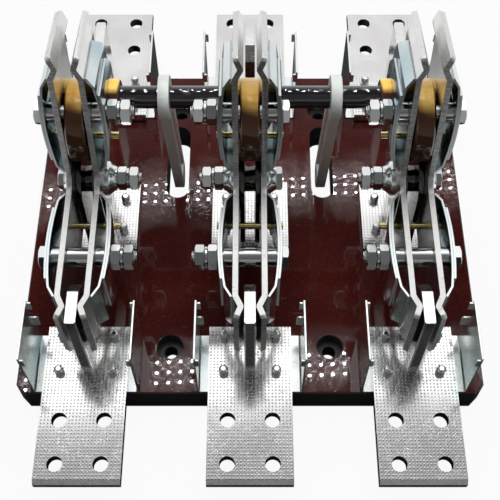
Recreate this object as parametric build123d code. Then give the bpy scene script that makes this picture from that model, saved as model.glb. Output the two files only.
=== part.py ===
from build123d import *
import math
import os

# Three-pole changeover knife switch on an insulating base.
# Each pole has V-shaped blade pairs that swing on a middle hinge between a front and a rear knife contact.
# +Z is up, X runs across the poles, -Y is the front. The origin is on the base's underside, below the pivots.
# Every length is in millimetres, and every angle in degrees.
pole_pitch = 120.0
pole_names = ("left", "centre", "right")
contact_gap = 0.3
running_gap = 0.1

# Moving blades: distances along an arm are measured from the pivot
blade_angle = 101.5
blade_thickness = 4.0
blade_gap = 16.0
blade_width = 55.0
blade_inner_round = 12.0
blade_tip_round = 3.0
jaw_line = 122.3
jaw_run = 8.3
jaw_reach = 9.7
jaw_flare = 3.7
jaw_round = 4.0
pivot_above_terminal = 50.0

# Fixed knife contacts
knife_thickness = 8.0
knife_length = 34.5
knife_before_jaw = 21.8
knife_height = 76.0
knife_bevel_height = 9.0
knife_bevel_length = 10.0
knife_edge = 1.2

# Terminal bars
terminal_width = 61.0
terminal_length = 119.5
terminal_thickness = 8.0
terminal_bevel = 3.0
bolt_hole = 11.0
bolt_hole_pitch = 32.0
bolt_hole_from_end = 14.0
rivet_diameter = 7.0
rivet_height = 6.5
rivet_dome = 2.0
rivet_spread = 38.6
rivet_pitch = 28.0
rivet_lead = 8.5

# Chute brackets, one folded sheet under each terminal bar
bracket_sheet = 1.5
bracket_width = 78.0
bracket_length = 45.5
bracket_lead = 3.5
bracket_height = 60.0
bracket_bend = 2.5
hook_reach = 4.0
hook_height = 9.0
hook_drop = 3.0
lug_reach = 5.2
lug_height = 12.0
lug_foot = 22.5
lug_round = 2.0

# Base board
base_height = 26.0
base_side_margin = 52.5
base_end_margin = 0.5
base_corner = 7.0
base_edge = 1.0
mount_spacing_y = 226.0
mount_hole = 10.0
mount_counterbore = 20.0
counterbore_depth = 10.0
slot_width = 18.0
slot_front = 22.0
slot_rear = 94.5

# Hinge contacts
hinge_plate_length = 64.0
hinge_post_thickness = 3.7
hinge_post_foot = 54.0
hinge_round = 25.0
hinge_spacer = 20.0
hinge_rivet_pitch = 28.0

# Bow springs, two leaves on each outer blade face
leaf_thickness = 1.5
leaf_gap = 0.15
leaf_width = 50.0
leaf_shift = 1.0
leaf_corner = 9.0
leaf_start = 31.5
leaf_heel = 5.5
leaf_foot = 7.5
leaf_kink = 4.6
leaf_peak = 7.4
outer_leaf_margin = 6.0

# Bolts, nuts and pins
bolt_diameter = 10.0
nut_across_flats = 15.5
nut_height = 7.0
head_height = 4.5
lock_washer_diameter = 16.0
lock_washer_height = 2.0
bolt_tail = 2.0
spring_bolt_radius = 78.5
spring_bolt_shift = 16.5
sleeve_diameter = 14.0
dish_diameter = 27.0
dish_rim = 2.0
dish_height = 8.0
dish_neck = 18.0
pin_diameter = 5.0
pin_length = 49.0
pin_radius = 39.8
pin_shift = -4.0

# Insulators, drive shaft and links
insulator_radius = 29.5
insulator_thickness = 14.0
insulator_centre = 60.0
insulator_shift = 2.5
insulator_edge = 1.5
hub_diameter = 26.0
hub_half_length = 18.5
hub_round = 2.5
collar_end = 29.5
shaft_diameter = 16.0
shaft_radius = 74.3
shaft_shift = -5.0
link_thickness = 7.8
link_depth = 22.0
link_eye = 31.0
link_length = 149.0
link_lean = 13.5
link_pin_hole = 10.0
link_recess = 2.5
link_rim = 4.0

# Places that follow from the sizes above
pole_places = [-pole_pitch, 0.0, pole_pitch]
terminal_underside = base_height + bracket_sheet
terminal_top = terminal_underside + terminal_thickness
hinge_top = base_height + terminal_thickness
pivot_z = terminal_top + pivot_above_terminal
rear_rise = 180 - blade_angle
blade_outer = blade_gap / 2 + blade_thickness
knife_face = knife_thickness / 2 + contact_gap
jaw_bend = jaw_line - jaw_run
blade_tip = jaw_line + jaw_reach
knife_inner = jaw_line - knife_before_jaw
knife_outer = knife_inner + knife_length
terminal_inner = knife_inner
terminal_outer = terminal_inner + terminal_length
bracket_inner = terminal_inner + bracket_lead
bracket_outer = bracket_inner + bracket_length
base_width = 2 * (pole_pitch + base_side_margin)
base_depth = 2 * (bracket_outer + base_end_margin)
leaf_rise = leaf_start + leaf_heel
leaf_end = jaw_bend
leaf_fall = leaf_end - leaf_foot
outer_leaf_start = leaf_rise + outer_leaf_margin
outer_leaf_end = leaf_fall - outer_leaf_margin
leaf_face = blade_outer + leaf_peak + 2 * leaf_thickness + 2 * leaf_gap
bolt_bore = bolt_diameter + 2 * running_gap
pin_bore = pin_diameter + 2 * running_gap
hub_bore = hub_diameter + 2 * running_gap
shaft_bore = shaft_diameter + 2 * running_gap
shaft_end = pole_pitch + hub_half_length

# The rear arm is the front arm mirrored in the plane that halves the angle between them.
middle_angle = math.radians(rear_rise + blade_angle / 2)
mirror_normal = (0, -math.sin(middle_angle), math.cos(middle_angle))
arm_mirror = Plane(origin=(0, 0, pivot_z), x_dir=(1, 0, 0), z_dir=mirror_normal)
front_to_rear = Plane.XZ
side_to_side = Plane.YZ


def write(name, pieces):
    export_step(Compound(label=name, children=[s for p in pieces for s in p.solids()]), f"parts/{name}.step")


def block(x_low, x_high, y_low, y_high, z_low, z_high):
    size = (x_high - x_low, y_high - y_low, z_high - z_low)
    return Pos((x_low + x_high) / 2, (y_low + y_high) / 2, (z_low + z_high) / 2) * Box(*size)


def upright(diameter, x, y, z_low, z_high):
    return Pos(x, y, (z_low + z_high) / 2) * Cylinder(diameter / 2, z_high - z_low)


def across(diameter, radius, shift, x_low, x_high):
    """A round bar along X on the front arm, given by its radius from the pivot and its shift into the V."""
    place = Pos((x_low + x_high) / 2, -radius, pivot_z + shift)
    return place * Rot(0, 90, 0) * Cylinder(diameter / 2, x_high - x_low)


def hexagon(radius, shift, x_low, height):
    """A nut or bolt head along X at a place on the front arm."""
    flat = RegularPolygon(nut_across_flats / 2, 6, major_radius=False)
    return Pos(x_low, -radius, pivot_z + shift) * Rot(0, 90, 0) * extrude(flat, height)


def both_sides(piece):
    return [piece, mirror(piece, about=side_to_side)]


def to_rear(piece):
    return mirror(piece, about=arm_mirror)


def on_pole(pieces, pole):
    """Moves pieces to a pole. The left pole's nuts face inwards, so it is turned side for side."""
    if pole == 0:
        pieces = [mirror(p, about=side_to_side) for p in pieces]
    return [Pos(pole_places[pole], 0, 0) * p for p in pieces]


def build_base():
    board = Pos(0, 0, base_height / 2) * Box(base_width, base_depth, base_height)
    board = chamfer(board.edges().filter_by(Axis.Z), base_corner)
    board = chamfer(board.faces().sort_by(Axis.Z)[-1].edges(), base_edge)
    for x in (-pole_pitch / 2, pole_pitch / 2):
        for y in (-mount_spacing_y / 2, mount_spacing_y / 2):
            board -= upright(mount_hole, x, y, 0, base_height)
            board -= upright(mount_counterbore, x, y, base_height - counterbore_depth, base_height)
        slot = SlotOverall(slot_rear - slot_front, slot_width, rotation=90)
        board -= Pos(x, (slot_front + slot_rear) / 2, 0) * extrude(slot, base_height)
    return board


def build_terminal():
    half = terminal_width / 2
    bar = block(-half, half, -terminal_outer, -terminal_inner, terminal_underside, terminal_top)
    end_edges = bar.faces().sort_by(Axis.Y)[0].edges().filter_by(Axis.X)
    bar = chamfer(end_edges.sort_by(Axis.Z)[-1], terminal_bevel)
    for x in (-bolt_hole_pitch / 2, bolt_hole_pitch / 2):
        for row in (0, 1):
            y = -terminal_outer + bolt_hole_from_end + row * bolt_hole_pitch
            bar -= upright(bolt_hole, x, y, terminal_underside, terminal_top)
    return bar


def build_contact():
    """A knife whose inner top corner slopes, so that the jaws slide on."""
    top = terminal_top + knife_height
    slope_foot = (-knife_inner, top - knife_bevel_height)
    slope_head = (-knife_inner - knife_bevel_length, top)
    side = Polygon((-knife_outer, terminal_top), (-knife_inner, terminal_top), slope_foot, slope_head,
                   (-knife_outer, top), align=None)
    knife = extrude(Plane.YZ * side, knife_thickness / 2, both=True)
    return chamfer(knife.edges().filter_by(Axis.Z).group_by(Axis.Y)[0], knife_edge)


def build_bracket():
    """A folded channel with a hook at each top corner and a lug on each inner edge, all turned inwards."""
    half = bracket_width / 2
    top = base_height + bracket_height
    inner, outer = -bracket_inner, -bracket_outer
    fold = FilletPolyline((-half, top), (-half, base_height), (half, base_height), (half, top),
                          radius=bracket_bend)
    section = Face(Wire(fold.edges()).offset_2d(bracket_sheet, side=Side.LEFT))
    channel = Pos(0, inner, 0) * extrude(Plane.XZ * section, bracket_length)
    lug_low = base_height + lug_foot
    lug = block(half - lug_reach, half, inner - bracket_sheet, inner, lug_low, lug_low + lug_height)
    tabs = [fillet(lug.edges().filter_by(Axis.Y).group_by(Axis.X)[0], lug_round)]
    hook_top = top - hook_drop
    for y in (outer, inner - bracket_sheet):
        tabs.append(block(half - hook_reach, half, y, y + bracket_sheet, hook_top - hook_height, hook_top))
    for tab in tabs:
        channel += tab
        channel += mirror(tab, about=side_to_side)
    return channel


def build_hinge_contact():
    half = hinge_plate_length / 2
    foot = hinge_post_foot / 2
    plate = block(-terminal_width / 2, terminal_width / 2, -half, half, base_height, hinge_top)
    post_outer = blade_gap / 2 - contact_gap
    post_inner = post_outer - hinge_post_thickness
    web = Polygon((-foot, hinge_top), (foot, hinge_top), (hinge_round, pivot_z), (-hinge_round, pivot_z),
                  align=None)
    side = web + Pos(0, pivot_z) * Circle(hinge_round)
    post = Pos(post_inner, 0, 0) * extrude(Plane.YZ * side, hinge_post_thickness)
    spacer = across(hinge_spacer, 0, 0, -post_inner, post_inner)
    body = plate + post + mirror(post, about=side_to_side) + spacer
    return body - across(bolt_bore, 0, 0, -post_outer, post_outer)


def build_rivet(x, y, foot):
    shank = upright(rivet_diameter, x, y, foot, foot + rivet_height)
    return fillet(shank.edges().sort_by(Axis.Z)[-1], rivet_dome)


def faces_out(pole, side):
    """Whether a pole's side, -1 or 1 along X, is the far side of an end pole."""
    return (pole - 1) * side > 0


def faces_in(pole, side):
    """Whether a pole's side is the near side of an end pole, which carries a collar on the shaft."""
    return (pole - 1) * side < 0


def arm_holes(reach):
    """Bores for the spring bolt and the guide pin through one side of an arm."""
    holes = across(bolt_bore, spring_bolt_radius, spring_bolt_shift, 0, reach)
    return holes + across(pin_bore, pin_radius, pin_shift, 0, reach)


def raise_strip(path, thickness, width, shift):
    """Bends a strip along a path drawn in plan beside the front arm, and raises it to its width."""
    ribbon = Wire(path.edges()).offset_2d(thickness, side=Side.LEFT)
    return Pos(0, 0, pivot_z + shift - width / 2) * extrude(Face(ribbon), width, dir=(0, 0, 1))


def build_arm(rear):
    """One arm of a blade. It narrows to a rounded contact line, then flares out to lead the knife in."""
    closing = math.atan2(blade_gap / 2 - knife_face, jaw_run)
    opening = math.atan2(jaw_flare, jaw_reach)
    bulge = jaw_round * (math.cos((closing - opening) / 2) / math.cos((closing + opening) / 2) - 1)
    jaw = knife_face - bulge
    path = FilletPolyline((blade_gap / 2, 0), (blade_gap / 2, -jaw_bend), (jaw, -jaw_line),
                          (jaw + jaw_flare, -blade_tip), radius=jaw_round)
    arm = raise_strip(path, blade_thickness, blade_width, 0)
    arm = fillet(arm.faces().sort_by(Axis.Y)[0].edges().sort_by(SortBy.LENGTH)[:2], blade_tip_round)
    arm -= arm_holes(blade_outer)
    if rear:
        arm = to_rear(arm - across(hub_bore, shaft_radius, shaft_shift, 0, blade_outer))
    return arm


def build_blade():
    elbow = across(blade_width, 0, 0, blade_gap / 2, blade_outer)
    blade = build_arm(False) + build_arm(True) + elbow
    inside = blade_width / 2 / math.sin(math.radians(blade_angle / 2))
    corner = Vector(blade_outer, inside * math.cos(middle_angle), pivot_z + inside * math.sin(middle_angle))
    edge = min(blade.edges().filter_by(Axis.X), key=lambda e: (e.center() - corner).length)
    blade = fillet(edge, blade_inner_round)
    return blade - across(bolt_bore, 0, 0, 0, blade_outer)


def bow(radius):
    """Distance of the inner leaf's inner face from the blade along its bowed middle, an arc of a circle."""
    middle = (leaf_rise + leaf_fall) / 2
    half = (leaf_fall - leaf_rise) / 2
    rise = leaf_peak - leaf_kink
    curve = (half ** 2 + rise ** 2) / (2 * rise)
    return leaf_peak - curve + math.sqrt(curve ** 2 - (radius - middle) ** 2)


def build_leaf(start, finish, lift, footed):
    """One spring leaf on the front arm: a bowed strip with cut outside corners.

    A footed leaf also has both ends bent in to the blade.
    """
    def beside(radius, height):
        return (blade_outer + height, -radius)

    middle = (start + finish) / 2
    path = ThreePointArc(*[beside(r, bow(r) + lift) for r in (start, middle, finish)])
    if footed:
        path = Line(beside(leaf_start, running_gap), path @ 0) + path
        path += Line(path @ 1, beside(leaf_end, running_gap))
        start, finish = leaf_start - leaf_thickness, leaf_end + leaf_thickness
    outline = Rectangle(finish - start, leaf_width)
    outline = chamfer(outline.vertices().group_by(Axis.Y)[0], leaf_corner)
    place = Pos(0, -(start + finish) / 2, pivot_z + leaf_shift)
    cutter = place * extrude(Plane.YZ * outline, leaf_face)
    return raise_strip(path, leaf_thickness, leaf_width, leaf_shift) & cutter


def build_springs(rear, pole):
    """The two leaves of each bow spring on the front arm, or on the rear arm with bores for the shaft."""
    inner = build_leaf(leaf_rise, leaf_fall, 0, True)
    outer = build_leaf(outer_leaf_start, outer_leaf_end, leaf_thickness + leaf_gap, False)
    leaves = []
    for leaf in (inner, outer):
        leaf -= arm_holes(leaf_face)
        for side in (-1, 1):
            turned = leaf
            if rear and not faces_out(pole, side):
                bore = hub_bore if faces_in(pole, side) else shaft_bore
                turned = to_rear(leaf - across(bore, shaft_radius, shaft_shift, 0, leaf_face))
            elif rear:
                turned = to_rear(leaf)
            leaves.append(turned if side > 0 else mirror(turned, about=side_to_side))
    return leaves


def build_bolt(radius, shift, seat):
    """A bolt along X with its head at +X, and a nut, a lock washer and a second nut at -X."""
    bolt = hexagon(radius, shift, seat, head_height) + hexagon(radius, shift, -seat - nut_height, nut_height)
    washer_face = -seat - nut_height - lock_washer_height
    bolt += across(lock_washer_diameter, radius, shift, washer_face, -seat - nut_height)
    bolt += hexagon(radius, shift, washer_face - nut_height, nut_height)
    return bolt + across(bolt_diameter, radius, shift, washer_face - nut_height - bolt_tail, seat)


def build_dish():
    """A dished spring washer that presses on the outer blade face round the pivot."""
    rim = across(dish_diameter, 0, 0, blade_outer, blade_outer + dish_rim)
    neck_height = dish_height - dish_rim
    place = Pos(blade_outer + dish_rim + neck_height / 2, 0, pivot_z) * Rot(0, 90, 0)
    return rim + place * Cone(dish_diameter / 2, dish_neck / 2, neck_height)


def build_insulator(pole):
    """A disc between the rear blades. Its hub holds the shaft, and is a longer collar on an inner side."""
    half = insulator_thickness / 2
    disc = across(2 * insulator_radius, insulator_centre, insulator_shift, -half, half)
    disc = chamfer(disc.edges().filter_by(GeomType.CIRCLE), insulator_edge)
    low, high = [collar_end if faces_in(pole, side) else hub_half_length for side in (-1, 1)]
    hub = across(hub_diameter, shaft_radius, shaft_shift, -low, high)
    body = disc + fillet(hub.edges().filter_by(GeomType.CIRCLE), hub_round)
    body -= across(shaft_bore, shaft_radius, shaft_shift, -low, high)
    body -= across(bolt_bore, spring_bolt_radius, spring_bolt_shift, -half, half)
    body -= across(pin_bore, pin_radius, pin_shift, -half, half)
    return to_rear(body)


def build_link(x):
    """A flat bar with an eye on the drive shaft, a smaller eye in the base slot and hollowed sides."""
    def outline(rim):
        bar = Pos(0, -link_length / 2) * Rectangle(link_depth - 2 * rim, link_length)
        return bar + Circle(link_eye / 2 - rim) + Pos(0, -link_length) * Circle(link_depth / 2 - rim)

    shaft_hole = Circle(shaft_diameter / 2 + contact_gap)
    pin_hole = Pos(0, -link_length) * Circle(link_pin_hole / 2)
    full = extrude(Plane.YZ * (outline(0) - shaft_hole - pin_hole), link_thickness / 2, both=True)
    bosses = Circle(link_eye / 2) + Pos(0, -link_length) * Circle(link_depth / 2)
    hollow = extrude(Plane.YZ * (outline(link_rim) - bosses), link_recess)
    link = full
    for side in (link_thickness / 2 - link_recess, -link_thickness / 2):
        link -= Pos(side, 0, 0) * hollow
    return Pos(x, shaft_axis.Y, shaft_axis.Z) * Rot(link_lean, 0, 0) * link


os.makedirs("parts", exist_ok=True)
drive_shaft = to_rear(across(shaft_diameter, shaft_radius, shaft_shift, -shaft_end, shaft_end))
shaft_axis = drive_shaft.center()

terminal = build_terminal()
contact = build_contact()
bracket = build_bracket()
hinge_contact = build_hinge_contact()
blade = build_blade()
spring_bolt = build_bolt(spring_bolt_radius, spring_bolt_shift, leaf_face)
leaf_back = blade_outer + bow(spring_bolt_radius + sleeve_diameter / 2) - running_gap
spacer = across(sleeve_diameter, spring_bolt_radius, spring_bolt_shift, blade_outer + running_gap, leaf_back)
for piece in both_sides(spacer):
    spring_bolt += piece
sleeve_end = blade_gap / 2 - running_gap
sleeve = across(sleeve_diameter, spring_bolt_radius, spring_bolt_shift, -sleeve_end, sleeve_end)
pivot_bolt = build_bolt(0, 0, blade_outer + dish_height)
for dish in both_sides(build_dish()):
    pivot_bolt += dish
pin = across(pin_diameter, pin_radius, pin_shift, -pin_length / 2, pin_length / 2)

rivets = []
pins = []
for pole, name in enumerate(pole_names):
    shift = Pos(pole_places[pole], 0, 0)
    for kind, piece in (("terminal", terminal), ("contact", contact), ("bracket", bracket)):
        write(f"front_{kind}_{name}", [shift * piece])
        write(f"rear_{kind}_{name}", [shift * mirror(piece, about=front_to_rear)])
    write(f"hinge_contact_{name}", [shift * hinge_contact])
    write(f"blades_{name}", [shift * b for b in both_sides(blade)])
    write(f"front_springs_{name}", [shift * s for s in build_springs(False, pole)])
    write(f"rear_springs_{name}", [shift * s for s in build_springs(True, pole)])
    write(f"spring_bolts_{name}", on_pole([spring_bolt + sleeve, to_rear(spring_bolt)], pole))
    write(f"pivot_bolt_{name}", on_pole([pivot_bolt], pole))
    write(f"insulator_{name}", [shift * build_insulator(pole)])
    pins += [shift * pin, shift * to_rear(pin)]
    for x in (-rivet_spread / 2, rivet_spread / 2):
        for row in (0, 1):
            y = terminal_inner + rivet_lead + row * rivet_pitch
            rivets += [shift * build_rivet(x, y, terminal_top), shift * build_rivet(x, -y, terminal_top)]
        for y in (-hinge_rivet_pitch / 2, hinge_rivet_pitch / 2):
            rivets.append(shift * build_rivet(x, y, hinge_top))
write("base_plate", [build_base()])
write("terminal_rivets", rivets)
write("guide_pins", pins)
write("drive_shaft", [drive_shaft])
write("drive_link_left", [build_link(-pole_pitch / 2)])
write("drive_link_right", [build_link(pole_pitch / 2)])
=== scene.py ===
import math
import bmesh
import bpy
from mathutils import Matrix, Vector


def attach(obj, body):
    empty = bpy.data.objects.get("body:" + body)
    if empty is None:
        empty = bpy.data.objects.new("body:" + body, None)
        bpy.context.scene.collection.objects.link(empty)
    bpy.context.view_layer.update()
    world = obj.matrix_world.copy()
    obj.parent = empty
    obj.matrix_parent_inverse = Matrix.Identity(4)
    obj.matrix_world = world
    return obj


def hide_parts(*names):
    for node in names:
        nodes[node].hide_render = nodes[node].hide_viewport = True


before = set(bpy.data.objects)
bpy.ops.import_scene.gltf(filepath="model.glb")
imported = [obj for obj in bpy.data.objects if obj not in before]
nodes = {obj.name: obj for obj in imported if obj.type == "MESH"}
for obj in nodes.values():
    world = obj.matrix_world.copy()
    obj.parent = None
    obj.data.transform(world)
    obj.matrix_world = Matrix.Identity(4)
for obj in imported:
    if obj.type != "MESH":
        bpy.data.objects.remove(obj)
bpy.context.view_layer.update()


# Base board: a slab of dark red moulded resin with a glossy, slightly uneven skin and nearly black edges.
# It is pressed in one piece, and its mounting holes and link slots are cut through it.


class Wire:
    """One output of a material's nodes. Arithmetic on it adds Math nodes."""

    def __init__(self, tree, socket=None):
        self.tree = tree
        self.socket = socket

    def node(self, kind, settings={}, values={}, output=0):
        """Adds a node of a type, with its settings and its sockets' values or links, and wraps one output."""
        made = self.tree.nodes.new("ShaderNode" + kind)
        for name, value in settings.items():
            setattr(made, name, value)
        for name, value in values.items():
            if isinstance(value, Wire):
                self.tree.links.new(value.socket, made.inputs[name])
            else:
                made.inputs[name].default_value = value
        return Wire(self.tree, made.outputs[output])

    def maths(self, operation, first, second=0.0):
        return self.node("Math", {"operation": operation}, {0: first, 1: second})

    def __abs__(self):
        return self.maths("ABSOLUTE", self)

    def __add__(self, other):
        return self.maths("ADD", self, other)

    def __sub__(self, other):
        return self.maths("SUBTRACT", self, other)

    def __rsub__(self, other):
        return self.maths("SUBTRACT", other, self)

    def __mul__(self, other):
        return self.maths("MULTIPLY", self, other)

    def __truediv__(self, other):
        return self.maths("DIVIDE", self, other)

    def __pow__(self, other):
        return self.maths("POWER", self, other)

    __radd__ = __add__
    __rmul__ = __mul__


class Finish:
    """A material under way: its nodes, its surface shader and the place on the piece."""

    def __init__(self, name):
        self.material = bpy.data.materials.new(name)
        self.material.use_nodes = True
        self.tree = self.material.node_tree
        self.shader = self.tree.nodes["Principled BSDF"]
        self.start = Wire(self.tree)
        self.place = self.start.node("TexCoord", output="Object")
        self.facing = self.start.node("TexCoord", output="Normal")

    def axis(self, source, letter):
        return self.start.node("SeparateXYZ", {}, {0: source}, letter)

    def noise(self, scale, detail, stretch=(1, 1, 1)):
        """Grain of about one feature per 1/scale metres, drawn out along an axis where its stretch is small."""
        spread = self.start.node("Mapping", {}, {"Vector": self.place, "Scale": stretch})
        return self.start.node("TexNoise", {}, {"Vector": spread, "Scale": scale, "Detail": detail})

    def step(self, value, low, high):
        """Rises smoothly from 0 to 1 while value goes from low to high."""
        return self.start.node("MapRange", {"interpolation_type": "SMOOTHSTEP"},
                               {0: value, 1: low, 2: high})

    def beyond(self, value, limit, blur):
        """1 where value is past a limit, with a smooth change over the blur on both sides of it."""
        return self.step(value, limit - blur, limit + blur)

    def blend(self, factor, first, second):
        """A mix of two colours, each a colour or the output of another mix."""
        first, second = [c if isinstance(c, Wire) else (*c, 1.0) for c in (first, second)]
        return self.start.node("Mix", {"data_type": "RGBA"}, {0: factor, 6: first, 7: second}, 2)

    def bump(self, height, distance):
        """Relief of a depth in metres on the surface's normal."""
        self.feed(Normal=self.start.node("Bump", {}, {"Height": height, "Distance": distance}))

    def feed(self, **sockets):
        """Sets or links the surface shader's own sockets."""
        for name, value in sockets.items():
            socket = self.shader.inputs[name.replace("_", " ")]
            if isinstance(value, Wire):
                self.tree.links.new(value.socket, socket)
            else:
                socket.default_value = value


def dress(node, finish, edge):
    """Gives a CAD node its finish, and breaks its sharp edges by a width in metres."""
    piece = nodes[node]
    piece.data.materials.clear()
    piece.data.materials.append(finish.material)
    weld = piece.modifiers.new("weld", "WELD")
    weld.merge_threshold = 1e-6
    flat = piece.modifiers.new("flat", "DECIMATE")
    flat.decimate_type = "DISSOLVE"
    flat.angle_limit = math.radians(0.5)
    broken = piece.modifiers.new("broken", "BEVEL")
    broken.width = edge
    broken.segments = 2
    broken.limit_method = "ANGLE"
    broken.angle_limit = math.radians(35)
    broken.harden_normals = True


def resin_board():
    """Clouded red with fine grain and pits on the moulded face, and nearly black where the board is cut."""
    deep_red, clear_red = (0.034, 0.0045, 0.0036), (0.059, 0.0084, 0.0062)
    dark_grain, pale_speck = (0.020, 0.0038, 0.0034), (0.17, 0.05, 0.042)
    cut_black = (0.018, 0.018, 0.0175)
    skin_level, skin_blur = 0.0247, 0.0002
    pit_depth = 0.0000026
    board = Finish("red_resin")
    moulded = (board.step(board.axis(board.facing, "Z"), 0.3, 0.9)
               * board.beyond(board.axis(board.place, "Z"), skin_level, skin_blur))
    cloud = board.step(board.noise(22, 4), 0.3, 0.7)
    grain = board.step(board.noise(700, 2), 0.35, 0.65)
    speck = board.step(board.noise(900, 1), 0.64, 0.72)
    red = board.blend(cloud, deep_red, clear_red)
    red = board.blend(grain * 0.5, red, dark_grain)
    red = board.blend(speck * 0.30, red, pale_speck)
    scuff = board.step(board.noise(1, 4, (60, 420, 60)), 0.70, 0.78)
    board.feed(Base_Color=board.blend(moulded, cut_black, red),
               Roughness=0.05 * scuff + 0.40 * (1 - moulded), IOR=1.45)
    pits = board.step(board.noise(1700, 0), 0.54, 0.68)
    board.bump(0.10 * board.noise(700, 1) + pits, pit_depth)
    return board


dress("base_plate", resin_board(), edge=0.0004)


# Terminal bars, fixed knives and hinge contacts: thick copper bar, tinned to a pale grey.
# The bars' tops carry a fine square knurl from the rolls, and the knives and hinge posts are brazed to them.
# The bolt holes' walls carry painted shade, and painted shade darkens the gap between the hinge posts.

pole_pitch = 0.120
poles = {"left": -pole_pitch, "centre": 0.0, "right": pole_pitch}


def tinned_bar():
    """Clouded tin, with the knurl's dots, near-black front and rear faces on the knives, and painted shade in the
    bolt holes and between the hinge posts.
    """
    grey_tin, pale_tin, blue_tin = (0.75, 0.735, 0.735), (0.88, 0.87, 0.865), (0.66, 0.66, 0.68)
    dot_grey, end_face_black = (0.32, 0.32, 0.33), (0.09, 0.09, 0.09)
    bore_shade_grey, gap_shade = (0.10, 0.097, 0.095), (0.05, 0.047, 0.042)
    knurl_pitch, dot_core, dot_rim = 0.0025, 0.10, 0.30
    knife_foot = 0.040
    holes_half, holes_start, holes_end, holes_blur = 0.025, 0.161, 0.2135, 0.001
    gap_half, gap_reach, gap_floor = 0.009, 0.0525, 0.036
    relief = 0.00010
    bar = Finish("tinned_bar")
    level = bar.axis(bar.place, "Z")
    up = bar.step(bar.axis(bar.facing, "Z"), 0.6, 0.95)
    upright = 1 - bar.step(abs(bar.axis(bar.facing, "Z")), 0.3, 0.6)
    end_faces = bar.step(abs(bar.axis(bar.facing, "Y")), 0.7, 0.95)
    tall = bar.beyond(level, knife_foot, 0.002)
    offsets = [bar.start.maths("FRACT", bar.axis(bar.place, a) / knurl_pitch) - 0.5 for a in "XY"]
    reach = (offsets[0] * offsets[0] + offsets[1] * offsets[1]) ** 0.5
    worn = bar.step(bar.noise(35, 3), 0.15, 0.50)
    dot = (1 - bar.step(reach, dot_core, dot_rim)) * up * worn * (1 - tall)
    drawn = bar.noise(1, 4, (1800, 60, 1800))
    scratch = 1 - bar.step(abs(bar.noise(110, 2) - 0.5), 0.004, 0.014)
    across = abs(bar.start.maths("FRACT", bar.axis(bar.place, "X") / pole_pitch + 0.5) - 0.5) * pole_pitch
    along = abs(bar.axis(bar.place, "Y"))
    shaded_bores = (upright * (1 - bar.beyond(across, holes_half, holes_blur))
             * bar.beyond(along, holes_start, holes_blur) * (1 - bar.beyond(along, holes_end, holes_blur)))
    shaded_gap = ((1 - bar.beyond(across, gap_half, 0.0005)) * (1 - bar.beyond(along, gap_reach, 0.0025))
               * bar.beyond(level, gap_floor, 0.0015))
    tint = bar.blend(bar.step(bar.noise(28, 5), 0.3, 0.7), grey_tin, pale_tin)
    tint = bar.blend(bar.step(bar.noise(9, 3), 0.52, 0.7) * 0.4, tint, blue_tin)
    tint = bar.blend(dot * 0.65, tint, dot_grey)
    # The knives' faces that look to the front or the rear are darkened nearly to black.
    tint = bar.blend(end_faces * tall * (0.55 + 0.45 * bar.step(drawn, 0.35, 0.6)), tint, end_face_black)
    # Painted shade: the walls of the bolt holes are darkened.
    tint = bar.blend(shaded_bores * 0.6, tint, bore_shade_grey)
    # Painted shade: the gap between the hinge posts is darkened.
    tint = bar.blend(shaded_gap * 0.85, tint, gap_shade)
    bar.feed(Base_Color=tint, Metallic=1.0, Roughness=0.11 + 0.08 * bar.noise(120, 4) + 0.12 * scratch)
    bar.bump(0.7 * dot + 0.12 * drawn + 0.15 * scratch, relief)
    return bar


tin = tinned_bar()
for pole in poles:
    for end in ("front", "rear"):
        dress(f"{end}_terminal_{pole}", tin, edge=0.0006)
        dress(f"{end}_contact_{pole}", tin, edge=0.0005)
    dress(f"hinge_contact_{pole}", tin, edge=0.0004)


# Chute brackets and rivets: folded mild steel sheet, zinc plated and passivated to a faint blue-green.
# Each bracket is trapped under its terminal bar, and four rivets hold the bar and the bracket to the board.

def zinc_plate(name, blue, warm, rough, dulling):
    """Zinc plate whose passivation drifts between two tints. Tops and cut edges are paler, and may be duller."""
    bare_zinc = (0.90, 0.92, 0.92)
    relief = 0.000008
    plate = Finish(name)
    side = plate.step(abs(plate.axis(plate.facing, "X")), 0.4, 0.9)
    tint = plate.blend(plate.step(plate.noise(18, 2), 0.32, 0.66), blue, warm)
    tint = plate.blend((1 - side) * 0.7, tint, bare_zinc)
    plate.feed(Base_Color=tint, Metallic=1.0, Roughness=rough + 0.08 * plate.noise(60, 2) + dulling * (1 - side))
    plate.bump(plate.noise(420, 2), relief)
    return plate


sheet_zinc = zinc_plate("sheet_zinc", blue=(0.60, 0.73, 0.75), warm=(0.84, 0.85, 0.78), rough=0.16, dulling=0.06)
bolt_zinc = zinc_plate("bolt_zinc", blue=(0.70, 0.74, 0.76), warm=(0.84, 0.84, 0.82), rough=0.07, dulling=0.0)
for pole in poles:
    for end in ("front", "rear"):
        dress(f"{end}_bracket_{pole}", sheet_zinc, edge=0.0003)
dress("terminal_rivets", bolt_zinc, edge=0.0002)


# Blades: pairs of bent copper strips, plated bright, that turn on the hinge contacts.
# They are stamped in one piece each, and the stamped edges keep a rough, torn band.

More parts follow.
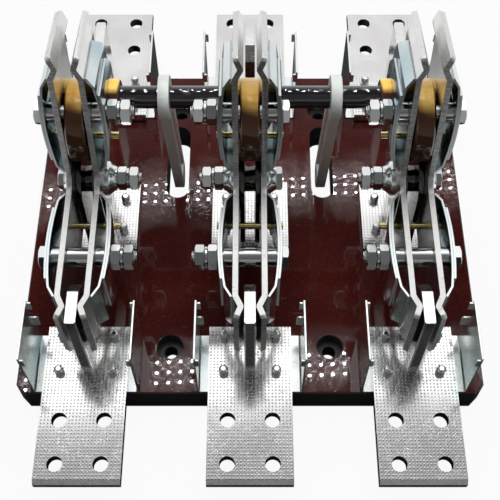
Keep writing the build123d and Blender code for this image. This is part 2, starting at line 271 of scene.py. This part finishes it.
def plated_blade():
    """Clouded plating on the faces, paler edges with torn, darker bands, and painted shade on the cut faces that
    look to the front and the rear.
    """
    dull_plate, bright_plate, edge_plate = (0.70, 0.71, 0.70), (0.84, 0.84, 0.83), (0.90, 0.90, 0.89)
    torn_grey, cut_shade_grey = (0.42, 0.42, 0.41), (0.26, 0.255, 0.25)
    tear_depth = 0.00010
    blade = Finish("plated_blade")
    side = blade.step(abs(blade.axis(blade.facing, "X")), 0.5, 0.9)
    cut = blade.step(abs(blade.axis(blade.facing, "Y")), 0.6, 0.95)
    torn = blade.noise(1, 3, (240, 700, 700))
    tint = blade.blend(blade.step(blade.noise(30, 4), 0.3, 0.7), dull_plate, bright_plate)
    tint = blade.blend((1 - side) * 0.6, tint, edge_plate)
    tint = blade.blend(blade.step(torn, 0.6, 0.72) * (1 - side) * 0.6, tint, torn_grey)
    # Painted shade on the cut faces that look to the front and the rear, deeper where the torn band runs.
    tint = blade.blend(cut * (0.15 + 0.35 * blade.step(torn, 0.4, 0.6)), tint, cut_shade_grey)
    blade.feed(Base_Color=tint, Metallic=1.0,
               Roughness=0.20 + 0.10 * blade.noise(140, 4) + 0.16 * (1 - side))
    blade.bump(torn * (1 - side), tear_depth)
    return blade


plating = plated_blade()
for pole in poles:
    dress(f"blades_{pole}", plating, edge=0.0005)


# Bow springs: two leaves of zinc plated spring strip on each outer blade face, bowed and bent in at the feet.
# The spring bolts squeeze them, and so the jaws, on to the knives.

spring_zinc = zinc_plate("spring_zinc", blue=(0.44, 0.57, 0.62), warm=(0.68, 0.74, 0.74), rough=0.14, dulling=0.12)
for pole in poles:
    dress(f"front_springs_{pole}", spring_zinc, edge=0.0002)
    dress(f"rear_springs_{pole}", spring_zinc, edge=0.0002)


# Insulators: amber resin discs between the rear blades, with hubs round the drive shaft.
# They are cast and polished, and their faces carry painted shade: dark brown wherever they don't face up and to the
# rear, towards the light.

def amber_resin():
    """Streaked amber on the faces that turn up and to the rear, towards the light, and painted shade in dark brown
    elsewhere.
    """
    honey, pale_honey = (0.84, 0.44, 0.050), (0.96, 0.62, 0.140)
    burnt, shade_brown = (0.66, 0.26, 0.018), (0.045, 0.016, 0.006)
    relief = 0.000010
    amber = Finish("amber_resin")
    cloud = amber.noise(35, 4)
    streak = amber.noise(1, 3, (30, 160, 160))
    toward_light = amber.axis(amber.facing, "Y") * 0.5 + amber.axis(amber.facing, "Z") * 0.87
    lit_side = amber.step(toward_light + 0.25 * (cloud - 0.5), 0.45, 0.82)
    tint = amber.blend(amber.step(cloud, 0.3, 0.7), honey, pale_honey)
    tint = amber.blend(amber.step(streak, 0.5, 0.75) * 0.5, tint, burnt)
    # Painted light and shade: faces that turn up and to the rear keep the amber, and the others go dark brown.
    tint = amber.blend(1 - lit_side, tint, shade_brown)
    amber.feed(Base_Color=tint, Roughness=0.10 + 0.08 * amber.noise(200, 3), Coat_Weight=0.4, Coat_Roughness=0.05)
    amber.bump(amber.noise(380, 2), relief)
    return amber


amber = amber_resin()
for pole in poles:
    dress(f"insulator_{pole}", amber, edge=0.0003)


# Drive links: pale bars, moulded in nylon with a slightly grainy, satin skin.
# They hang from the drive shaft beside the middle pole and pass through the slots in the board.

def pale_nylon():
    """Faintly clouded nylon that lets a little light in."""
    grey_nylon, white_nylon = (0.50, 0.52, 0.50), (0.62, 0.63, 0.61)
    relief = 0.000012
    nylon = Finish("pale_nylon")
    tint = nylon.blend(nylon.step(nylon.noise(24, 4), 0.3, 0.7), grey_nylon, white_nylon)
    nylon.feed(Base_Color=tint, Roughness=0.30 + 0.15 * nylon.noise(130, 3), Subsurface_Weight=0.08)
    nylon.bump(nylon.noise(520, 3), relief)
    return nylon


nylon = pale_nylon()
for side in ("left", "right"):
    dress(f"drive_link_{side}", nylon, edge=0.0006)


# Guide pins: short rods of yellow brass, turned from bar and left with fine tool rings.
# They pass through the blade pairs and keep the spring leaves in line.

def turned_brass():
    """Bright brass with rings across the rod."""
    deep_brass, pale_brass = (0.84, 0.66, 0.26), (0.95, 0.82, 0.42)
    ring_depth = 0.000008
    brass = Finish("turned_brass")
    ring = brass.noise(1, 2, (2600, 20, 20))
    tint = brass.blend(brass.noise(60, 3), deep_brass, pale_brass)
    brass.feed(Base_Color=tint, Metallic=1.0, Roughness=0.10 + 0.10 * ring)
    brass.bump(ring, ring_depth)
    return brass


dress("guide_pins", turned_brass(), edge=0.0003)


# Spring bolts and pivot bolts: zinc plated steel, with a hexagon head on one side of the pole.
# A nut, a split washer and a lock nut hold the other side, and tubes keep the leaves and blades apart.
# Dished washers sit under the pivot bolts' heads and nuts.

pivot_z = 0.0855
rear_rise = math.radians(78.5)
spring_bolt_at = (0.0785, 0.0165)
bolt_radius = 0.005
bore_radius = bolt_radius * 0.9
nut_flats = 0.0155
nut_height = 0.007
nut_face_share = 0.475
nut_chamfer = math.radians(30)
washer_height = 0.002
head_height = 0.0045
bolt_tail = 0.002
bolt_overlap = 0.001
thread_pitch = 0.0015
thread_depth = 0.0007
thread_chamfer = 0.0010
thread_rings = 6
leaf_face = 0.0227
leaf_back = 0.01892
blade_outer = 0.012
blade_inner = 0.0079
tube_radius = 0.007
tube_edge = 0.0005
tube_gap = 0.0001
dish_seat = 0.020
dish_profile = [(blade_outer, bore_radius), (blade_outer, 0.0134), (0.0134, 0.0135), (0.0146, 0.0130),
                (0.0160, 0.0116), (0.0176, 0.0101), (0.0190, 0.0093), (dish_seat, 0.0090), (dish_seat, bore_radius)]
round_steps = 48


def on_arm(radius, shift, rear):
    """Place in Y and Z of a point on an arm: its distance from the pivot, and towards the inside of the V."""
    if not rear:
        return -radius, pivot_z + shift
    along, over = math.cos(rear_rise), math.sin(rear_rise)
    return radius * along - shift * over, pivot_z + radius * over + shift * along


def hex_reach(angle, flats):
    """Distance from a hexagon's middle to its side at an angle."""
    sixth = math.pi / 3
    return flats / 2 / math.cos((angle + sixth / 2) % sixth - sixth / 2)


def skin(mesh, rings, closed):
    """Joins rings of equally many points by faces, and the last ring to the first or both ends by caps."""
    rows = [[mesh.verts.new(point) for point in ring] for ring in rings]
    pairs = list(zip(rows, rows[1:]))
    if closed:
        pairs.append((rows[-1], rows[0]))
    for low, high in pairs:
        for i in range(len(low)):
            j = (i + 1) % len(low)
            mesh.faces.new((low[i], low[j], high[j], high[i]))
    if not closed:
        mesh.faces.new(rows[0][::-1])
        mesh.faces.new(rows[-1])


class Spot:
    """A line along X through a pole at a place in Y and Z, with its head on the side that hand gives."""

    def __init__(self, x, place, hand):
        self.x, self.place, self.hand = x, place, hand

    def point(self, along, reach, angle):
        """A point at a distance along the line, at a reach and an angle round it."""
        return (self.x + self.hand * along, self.place[0] + reach * math.cos(angle),
                self.place[1] + reach * math.sin(angle))

    def circle(self, x, reach, turn=0.0):
        """Points round the line at a distance along it. The reach may depend on the angle."""
        points = []
        for i in range(round_steps):
            angle = 2 * math.pi * i / round_steps
            r, along = reach(angle) if callable(reach) else (reach, 0.0)
            points.append(self.point(x + along, r, angle + turn))
        return points


def turned(mesh, spot, profile, closed=True):
    """A turned piece from (distance along the line, radius) pairs."""
    skin(mesh, [spot.circle(x, r) for x, r in profile], closed)


def hexagon_piece(mesh, spot, low, height, turn, low_chamfer=True):
    """A nut, or a head that keeps its low edge, with the usual chamfer."""
    high = low + height
    face = nut_face_share * nut_flats
    slope = math.tan(nut_chamfer)

    def side(sign):
        def reach(angle):
            r = hex_reach(angle, nut_flats)
            return r, sign * (r - face) * slope
        return reach

    rings = [spot.circle(low, bore_radius, turn)]
    if low_chamfer:
        rings += [spot.circle(low, face, turn), spot.circle(low, side(1), turn)]
    else:
        rings.append(spot.circle(low, side(0), turn))
    rings += [spot.circle(high, side(-1), turn), spot.circle(high, face, turn), spot.circle(high, bore_radius, turn)]
    skin(mesh, rings, True)


def split_washer(mesh, spot, low):
    """A spring washer: a square-edged ring, cut through and sprung apart at the cut."""
    inner, outer, spring, cut = bolt_radius * 1.04, bolt_radius * 1.6, 0.0004, math.radians(10)
    high = low + washer_height - spring
    sections = []
    for i in range(round_steps + 1):
        share = i / round_steps
        angle = cut / 2 + (2 * math.pi - cut) * share
        sections.append([spot.point(x + spring * share, r, angle)
                         for r, x in ((inner, low), (outer, low), (outer, high), (inner, high))])
    skin(mesh, sections, False)


def thread(mesh, spot, low, high):
    """A threaded end, whose last turn is chamfered."""
    rings = []
    steps = int((high - low) / (thread_pitch / thread_rings))
    for k in range(steps + 1):
        x = low + (high - low) * k / steps
        end = max(0.0, (x - (high - thread_chamfer)))

        def reach(angle, x=x, end=end):
            phase = (x / thread_pitch - angle / (2 * math.pi)) % 1.0
            return bolt_radius - thread_depth * (1 - abs(2 * phase - 1)) - end, 0.0
        rings.append(spot.circle(x, reach))
    skin(mesh, rings, False)


def tube(mesh, spot, low, high):
    """A plain spacer tube with broken edges."""
    inset = tube_radius - tube_edge
    turned(mesh, spot, [(low, bore_radius), (low, inset), (low + tube_edge, tube_radius),
                        (high - tube_edge, tube_radius), (high, inset), (high, bore_radius)])


def bolt_and_nuts(mesh, spot, seat, turns):
    """Head at +x, nut, split washer and lock nut at -x, and the threaded tail."""
    hexagon_piece(mesh, spot, seat, head_height, turns[0], False)
    back = Spot(spot.x, spot.place, -spot.hand)
    hexagon_piece(mesh, back, seat, nut_height, turns[1])
    split_washer(mesh, back, seat + nut_height)
    lock = seat + nut_height + washer_height
    hexagon_piece(mesh, back, lock, nut_height, turns[2])
    thread(mesh, back, seat + bolt_overlap, lock + nut_height + bolt_tail)
    turned(mesh, spot, [(-seat - bolt_overlap, bolt_radius), (seat, bolt_radius)], False)


def finish_piece(mesh, name, finish, body, replaced, edge=0.00015):
    """Turns a bmesh into a piece of the object, with its finish, its body and the node that it stands for."""
    bmesh.ops.recalc_face_normals(mesh, faces=mesh.faces)
    data = bpy.data.meshes.new(name)
    mesh.to_mesh(data)
    mesh.free()
    data.shade_smooth()
    data.set_sharp_from_angle(angle=math.radians(32))
    data.materials.append(finish.material)
    piece = bpy.data.objects.new(name, data)
    bpy.context.collection.objects.link(piece)
    if edge:
        broken = piece.modifiers.new("broken", "BEVEL")
        broken.width = edge
        broken.segments = 2
        broken.limit_method = "ANGLE"
        broken.angle_limit = math.radians(40)
        broken.harden_normals = True
    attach(piece, body)
    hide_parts(replaced)


# How far the head, the nut and the lock nut of a bolt are turned. No real bolt stops with all three in line.
corner_up, flat_up = math.radians(30), math.radians(8)
front_turns = (corner_up, 0.0, 0.12)
rear_turns = (corner_up, flat_up, flat_up + 0.3)
pivot_turns = (0.2, 0.05, 0.35)

for pole, x in poles.items():
    hand = -1 if pole == "left" else 1
    bolts = bmesh.new()
    for rear, turns in ((False, front_turns), (True, rear_turns)):
        spot = Spot(x, on_arm(*spring_bolt_at, rear), hand)
        bolt_and_nuts(bolts, spot, leaf_face, turns)
        for side in (-1, 1):
            tube(bolts, Spot(x, spot.place, side), blade_outer + tube_gap, leaf_back)
        if not rear:
            tube(bolts, spot, -blade_inner, blade_inner)
    finish_piece(bolts, f"spring_bolt_set_{pole}", bolt_zinc, "blade_carriage",
                 f"spring_bolts_{pole}")

    pivots = bmesh.new()
    spot = Spot(x, on_arm(0, 0, False), hand)
    bolt_and_nuts(pivots, spot, dish_seat, pivot_turns)
    for side in (-1, 1):
        turned(pivots, Spot(x, spot.place, side), dish_profile)
    finish_piece(pivots, f"pivot_bolt_set_{pole}", bolt_zinc, "blade_carriage",
                 f"pivot_bolt_{pole}")


# Drive shaft: a ground steel rod through all three insulators, dipped in a glossy black varnish.
# It is turned to length with broken ends, and the varnish keeps faint runs along it.

def black_varnish():
    """Black with faint brownish runs and a few dull patches."""
    deep_black, brown_black = (0.006, 0.006, 0.008), (0.014, 0.013, 0.016)
    run_depth = 0.000003
    black = Finish("black_varnish")
    streak = black.noise(1, 3, (12, 500, 500))
    tint = black.blend(black.step(streak, 0.4, 0.7), deep_black, brown_black)
    black.feed(Base_Color=tint, Roughness=0.08 * black.step(black.noise(40, 3), 0.66, 0.76), IOR=2.2)
    black.bump(0.3 * streak + black.noise(300, 1), run_depth)
    return black


shaft_at = (0.0743, -0.005)
shaft_radius = 0.008
shaft_end = 0.1385
shaft_edge = 0.0008
rod = bmesh.new()
turned(rod, Spot(0.0, on_arm(*shaft_at, True), 1),
       [(-shaft_end, shaft_radius - shaft_edge), (-shaft_end + shaft_edge, shaft_radius),
        (shaft_end - shaft_edge, shaft_radius), (shaft_end, shaft_radius - shaft_edge)], False)
finish_piece(rod, "shaft_rod", black_varnish(), "blade_carriage", "drive_shaft", edge=0.0)


# Studio: pale paper under the board in a white surround, lit by two soft lamps above and in front.
# Reflections alone also meet rows of small lamps, a broad lamp band below them, dark felt cards and a dark sheet
# round the board that is painted shade.

def plain_light(name, place, aim, size, power):
    """A soft lamp that reflections don't show."""
    lamp = bpy.data.lights.new(name, "AREA")
    lamp.shape = "RECTANGLE"
    lamp.size, lamp.size_y = size
    lamp.energy = power
    holder = bpy.data.objects.new(name, lamp)
    bpy.context.collection.objects.link(holder)
    holder.location = place
    holder.rotation_euler = (Vector(aim) - Vector(place)).to_track_quat("-Z", "Y").to_euler()
    holder.visible_glossy = False


def any_ray(start, *kinds):
    """1 for light rays of one of the kinds, and 0 for all others."""
    found = 0.0
    for kind in kinds:
        found = start.maths("MAXIMUM", start.node("LightPath", {}, {}, kind), found)
    return found


def level_sheet(half_width, near, far, height):
    """The corners of a level rectangle."""
    return [(-half_width, near, height), (half_width, near, height),
            (half_width, far, height), (-half_width, far, height)]


def set_piece(name, corners, faces, finish, mirrored_only):
    """A sheet of the set, which isn't part of the object. It may be there for reflections alone."""
    mesh = bpy.data.meshes.new(name)
    mesh.from_pydata(corners, [], faces)
    mesh.materials.append(finish.material)
    sheet = bpy.data.objects.new(name, mesh)
    bpy.context.collection.objects.link(sheet)
    if mirrored_only:
        for ray in ("camera", "diffuse", "transmission", "shadow", "volume_scatter"):
            setattr(sheet, "visible_" + ray, False)


def glow(finish, level):
    """White light of a level that may change over the sheet."""
    shade = finish.start.node("CombineXYZ", {}, {0: level, 1: level, 2: level})
    return finish.start.node("Emission", {}, {"Color": shade})


def show(finish, shader):
    """Puts a shader on the sheet in place of the plain surface."""
    finish.tree.links.new(shader.socket, finish.tree.nodes["Material Output"].inputs[0])


plain_light("overhead", place=(0.0, 0.45, 1.5), aim=(0, 0, 0.05), size=(1.2, 1.2), power=32)
plain_light("front_fill", place=(0.0, -1.3, 1.3), aim=(0, 0, 0.08), size=(1.4, 0.8), power=1.2)

floor_half = 6.0
shadow_share = 0.06
shadow_start, shadow_end = 0.5, 2.5
paper = Finish("floor_paper")
paper.feed(Base_Color=(0.42, 0.42, 0.42, 1), Roughness=0.9)
span = (paper.axis(paper.place, "X") ** 2.0 + paper.axis(paper.place, "Y") ** 2.0) ** 0.5
white = (1 - shadow_share) + shadow_share * paper.step(span, shadow_start, shadow_end)
shown = any_ray(paper.start, "Is Camera Ray", "Is Glossy Ray", "Is Transmission Ray")
bright = paper.start.node("Emission", {}, {"Color": (1, 1, 1, 1), "Strength": 1.0})
show(paper, paper.start.node("MixShader", {}, {0: shown * white, 1: Wire(paper.tree, paper.shader.outputs[0]),
                                               2: bright}))
set_piece("floor", level_sheet(floor_half, -floor_half, floor_half, 0), [(0, 1, 2, 3)], paper, mirrored_only=False)

lamp_height = 1.5
lamp_skew = 0.055
lamp_rows = (0.4998, 1.0243)
row_half, row_edge = 0.040, 0.041
lamp_pitch_x, lamp_pitch_y, lamp_shift = 0.0285, 0.0268, 0.43
lamp_core, lamp_rim, lamp_level = 0.09, 0.15, 300.0
dark_level, rear_level, outer_level = 0.05, 0.40, 0.90
lamps = Finish("lamp_rows")
depth = lamps.axis(lamps.place, "Y") - lamps.axis(lamps.place, "X") * lamp_skew
column = lamps.start.maths("FRACT", lamps.axis(lamps.place, "X") / lamp_pitch_x + lamp_shift) - 0.5
dots = 0.0
for y in lamp_rows:
    line = lamps.start.maths("FRACT", (depth - y) / lamp_pitch_y + 0.5) - 0.5
    on = 1 - lamps.step(abs(depth - y), row_half, row_edge)
    dots = dots + on * (1 - lamps.step((column * column + line * line) ** 0.5, lamp_core, lamp_rim))
sharp = dark_level + dots * lamp_level + lamps.step(depth, 1.08, 1.30) * rear_level
mirror = any_ray(lamps.start, "Is Singular Ray")
show(lamps, glow(lamps, sharp * mirror + outer_level * (1 - mirror)))
lamps.material.cycles.emission_sampling = "NONE"
set_piece("ceiling_lamps", level_sheet(half_width=0.9, near=-0.5, far=2.6, height=lamp_height), [(3, 2, 1, 0)],
          lamps, mirrored_only=True)

band_height = 0.9
band_level = 0.12
band_steps = ((0.30, -0.187, 0.042), (2.0, 0.149, 0.206), (-1.45, 0.270, 0.356), (0.80, 0.513, 0.585),
              (-0.87, 0.685, 0.800))
haze = Finish("lamp_band")
depth = haze.axis(haze.place, "Y") - haze.axis(haze.place, "X") * lamp_skew
soft = band_level
for change, start, end in band_steps:
    soft = soft + change * haze.step(depth, start, end)
show(haze, haze.start.node("MixShader", {}, {0: any_ray(haze.start, "Is Singular Ray"), 1: glow(haze, soft),
                                             2: haze.start.node("BsdfTransparent")}))
haze.material.cycles.emission_sampling = "NONE"
set_piece("lamp_band", level_sheet(half_width=0.54, near=-0.47, far=1.74, height=band_height), [(3, 2, 1, 0)],
          haze, mirrored_only=True)

card_near, card_far, card_half, card_rise = -0.28, -3.0, 3, 0.50
card_lift = 0.002
felt_and_shade = Finish("black_felt_and_shade")
felt_and_shade.feed(Base_Color=(0.03, 0.03, 0.03, 1), Roughness=1.0)
cards = [(x, y, z) for y, z in ((card_near, card_lift), (card_far, card_lift), (card_far, card_rise))
         for x in (-card_half, card_half)]
# Painted shade: the level sheet under and round the board darkens the floor there in reflections.
set_piece("dark_card", cards + level_sheet(half_width=0.2, near=card_near, far=0.25, height=card_lift / 2),
          [(0, 1, 3, 2), (2, 3, 5, 4), (6, 7, 8, 9)], felt_and_shade, mirrored_only=True)

world = bpy.data.worlds.new("surround")
bpy.context.scene.world = world
world.use_nodes = True
sky = Wire(world.node_tree)
overhead_share, front_share, ambient = 0.20, 0.35, 0.14
toward = sky.node("TexCoord")
rearward = sky.node("SeparateXYZ", {}, {0: toward}, "Y")
height = sky.node("SeparateXYZ", {}, {0: toward}, "Z")
fade = sky.node("MapRange", {}, {0: height, 1: 0.05, 2: 0.75, 3: 1.0, 4: overhead_share})
dim_front = sky.node("MapRange", {}, {0: rearward, 1: -0.2, 2: -0.7, 3: 1.0, 4: front_share})
mirrored = any_ray(sky, "Is Glossy Ray", "Is Transmission Ray")
strength = sky.maths("MAXIMUM", any_ray(sky, "Is Camera Ray"),
                     mirrored * fade * dim_front + (1 - mirrored) * ambient)
background = world.node_tree.nodes["Background"]
background.inputs["Color"].default_value = (1, 1, 1, 1)
world.node_tree.links.new(strength.socket, background.inputs["Strength"])


# Camera: a long lens on a 36 mm frame, straight in front of the middle pole.
# It stands well above the board and looks down on it, as in the photograph.

eye = (0.0, -0.4083, 0.6769)
view_fall = 59.72
focal_length = 67.97
lens = bpy.data.cameras.new("camera")
lens.lens = focal_length
lens.sensor_width = 36.0
camera = bpy.data.objects.new("camera", lens)
bpy.context.collection.objects.link(camera)
camera.location = eye
camera.rotation_euler = (math.radians(90 - view_fall), 0, 0)
bpy.context.scene.camera = camera
bpy.context.scene.view_settings.view_transform = "Standard"
